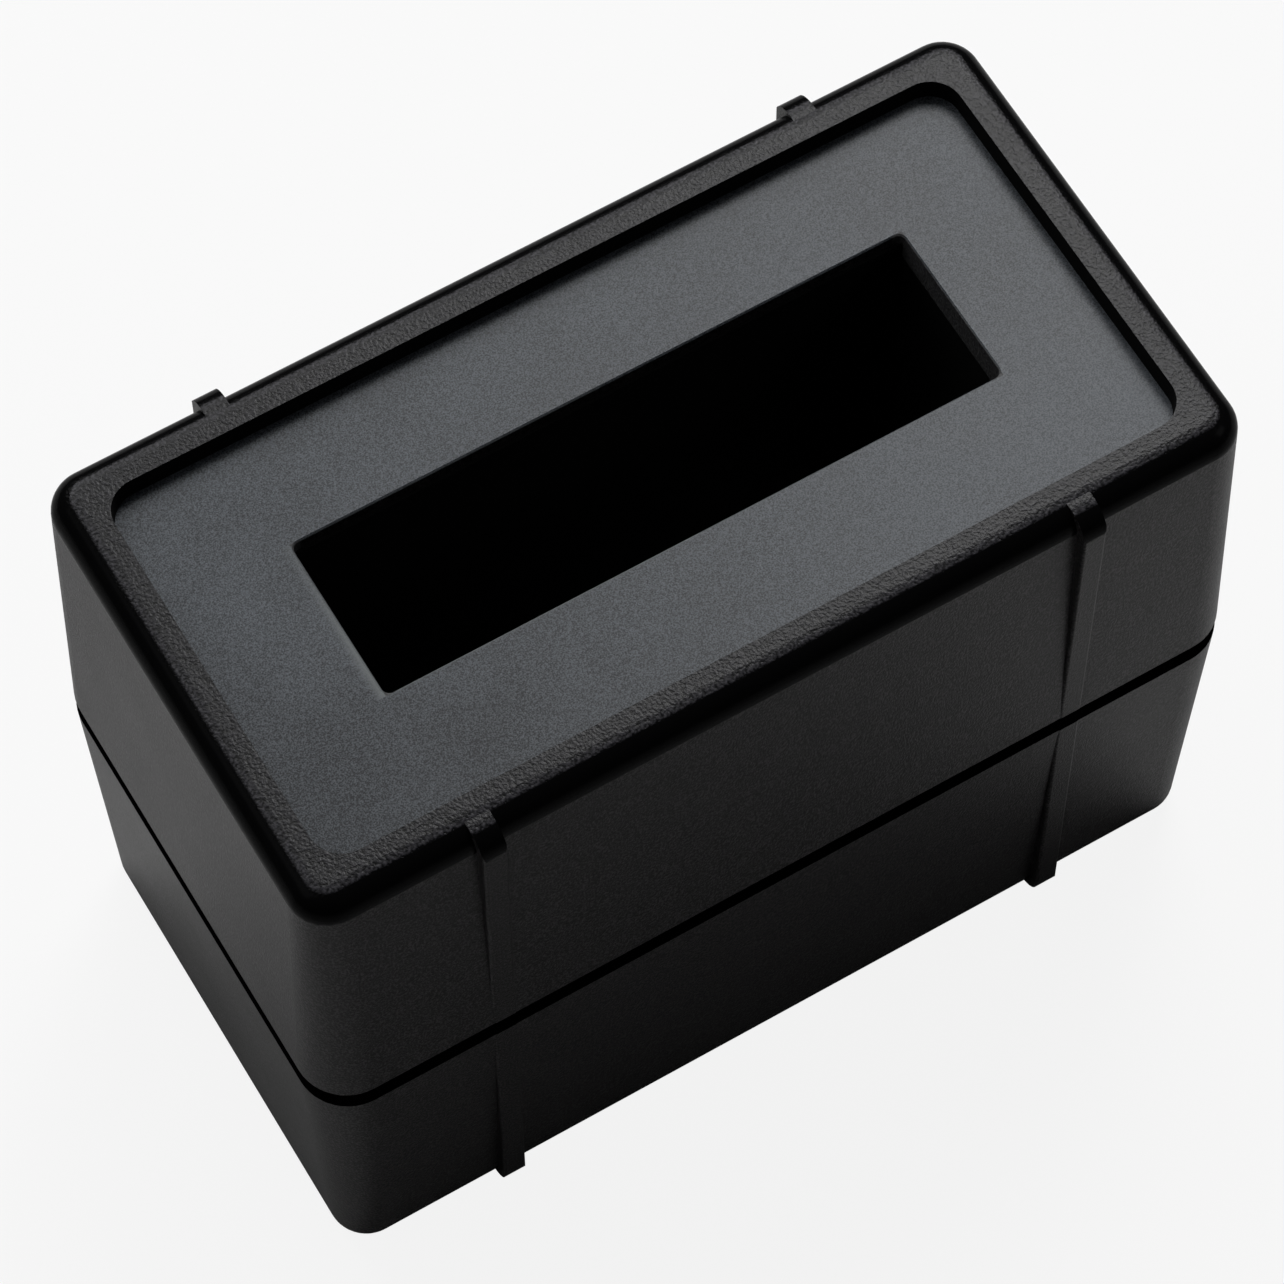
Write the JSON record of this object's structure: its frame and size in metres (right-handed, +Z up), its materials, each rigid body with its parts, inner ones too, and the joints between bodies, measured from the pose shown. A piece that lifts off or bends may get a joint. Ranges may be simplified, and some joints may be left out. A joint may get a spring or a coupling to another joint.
{
  "type": "tape eraser",
  "caption": "Hand-held permanent-magnet cassette eraser: a black two-part moulded housing with a rectangular tunnel between stacked magnets.",
  "frame": {"origin": "centre of the footprint, on the surface that the lower rim rests on", "axes": "+Z up, along the tunnel; +X along the long side of the housing; +Y across it, away from the front long wall"},
  "size_m": [0.1024, 0.0548, 0.0796],
  "materials": {
    "housing_plastic": "satin",
    "liner_plastic": "satin",
    "magnet_ferrite": "matte",
    "spacer_plastic": "satin",
    "pad_foam": "matte",
    "yoke_steel": "satin",
    "screw_steel": "satin"
  },
  "bodies": {
    "root": {"upper_shell": "housing_plastic", "lower_shell": "housing_plastic", "tunnel_liner": "liner_plastic", "housing_screws": "screw_steel", "front_magnet_1": "magnet_ferrite", "front_magnet_2": "magnet_ferrite", "front_magnet_3": "magnet_ferrite", "front_magnet_4": "magnet_ferrite", "rear_magnet_1": "magnet_ferrite", "rear_magnet_2": "magnet_ferrite", "rear_magnet_3": "magnet_ferrite", "rear_magnet_4": "magnet_ferrite", "front_spacer_1": "spacer_plastic", "front_spacer_2": "spacer_plastic", "front_spacer_3": "spacer_plastic", "rear_spacer_1": "spacer_plastic", "rear_spacer_2": "spacer_plastic", "rear_spacer_3": "spacer_plastic", "front_upper_pad": "pad_foam", "front_lower_pad": "pad_foam", "rear_upper_pad": "pad_foam", "rear_lower_pad": "pad_foam", "front_yoke": "yoke_steel", "rear_yoke": "yoke_steel", "left_end_tie": "yoke_steel", "right_end_tie": "yoke_steel"}
  },
  "joints": []
}
